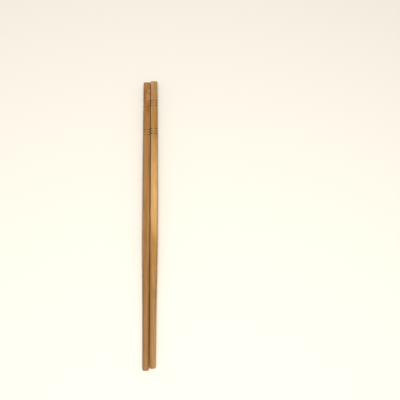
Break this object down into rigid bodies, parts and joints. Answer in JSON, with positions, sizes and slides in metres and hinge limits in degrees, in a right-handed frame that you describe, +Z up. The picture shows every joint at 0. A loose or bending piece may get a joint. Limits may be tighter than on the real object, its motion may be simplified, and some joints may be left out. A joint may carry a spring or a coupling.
{
  "type": "pair of bamboo chopsticks",
  "caption": "Bamboo chopsticks for eating, laid side by side: square handles with turned ring grooves flare into round tapered shanks with blunt tips.",
  "frame": {"origin": "on the surface that the sticks lie on, under the middle of the pair's bounding box", "axes": "+Y along the sticks from the tips towards the handle ends, +X to the right across the pair, +Z up"},
  "size_m": [0.0126, 0.2412, 0.006],
  "materials": {
    "left_bamboo": "satin, browner",
    "right_bamboo": "satin, more golden"
  },
  "bodies": {
    "root": {"left_chopstick": "left_bamboo", "right_chopstick": "right_bamboo"}
  },
  "joints": []
}
